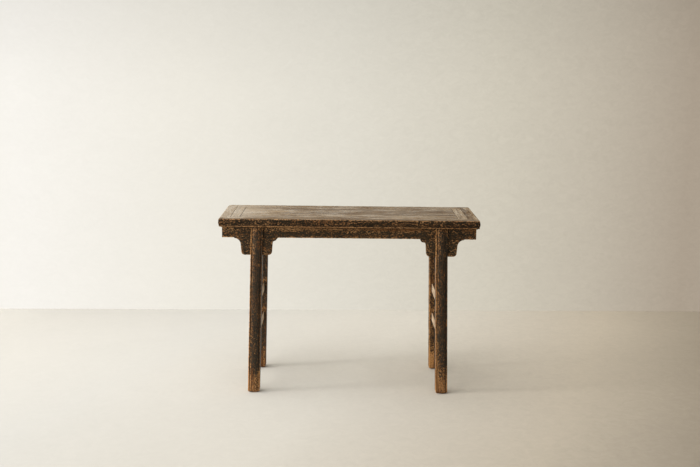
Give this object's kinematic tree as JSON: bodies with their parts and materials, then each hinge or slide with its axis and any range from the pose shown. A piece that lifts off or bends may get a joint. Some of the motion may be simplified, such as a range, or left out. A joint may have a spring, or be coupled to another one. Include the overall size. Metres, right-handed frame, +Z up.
{
  "type": "recessed-leg side table",
  "caption": "Long narrow side table with a mitred frame top, recessed splayed legs, shaped spandrels and paired end stretchers, in worn dark lacquer.",
  "frame": {"origin": "centre of the table on the floor, the middle of the bounding box's base", "axes": "+X along the table's length to the right as seen from the front, +Y towards the back, +Z up"},
  "size_m": [1.2, 0.425, 0.83],
  "materials": {
    "worn_lacquer": "worn dark lacquer over elm, rubbed to brown wood on the edges",
    "rubbed_top": "rubbed dull grey-brown wood with open grain",
    "bare_wood": "unfinished aged wood"
  },
  "bodies": {
    "root": {"front_long_rail": "worn_lacquer", "back_long_rail": "worn_lacquer", "left_end_rail": "worn_lacquer", "right_end_rail": "worn_lacquer", "front_apron": "worn_lacquer", "back_apron": "worn_lacquer", "left_end_apron": "worn_lacquer", "right_end_apron": "worn_lacquer", "front_left_spandrel": "worn_lacquer", "front_right_spandrel": "worn_lacquer", "back_left_spandrel": "worn_lacquer", "back_right_spandrel": "worn_lacquer", "front_left_leg": "worn_lacquer", "front_right_leg": "worn_lacquer", "back_left_leg": "worn_lacquer", "back_right_leg": "worn_lacquer", "left_upper_stretcher": "worn_lacquer", "left_lower_stretcher": "worn_lacquer", "right_upper_stretcher": "worn_lacquer", "right_lower_stretcher": "worn_lacquer", "left_cross_board": "rubbed_top", "right_cross_board": "rubbed_top", "front_panel_board": "rubbed_top", "middle_panel_board": "rubbed_top", "back_panel_board": "rubbed_top", "left_batten": "bare_wood", "middle_batten": "bare_wood", "right_batten": "bare_wood"}
  },
  "joints": []
}
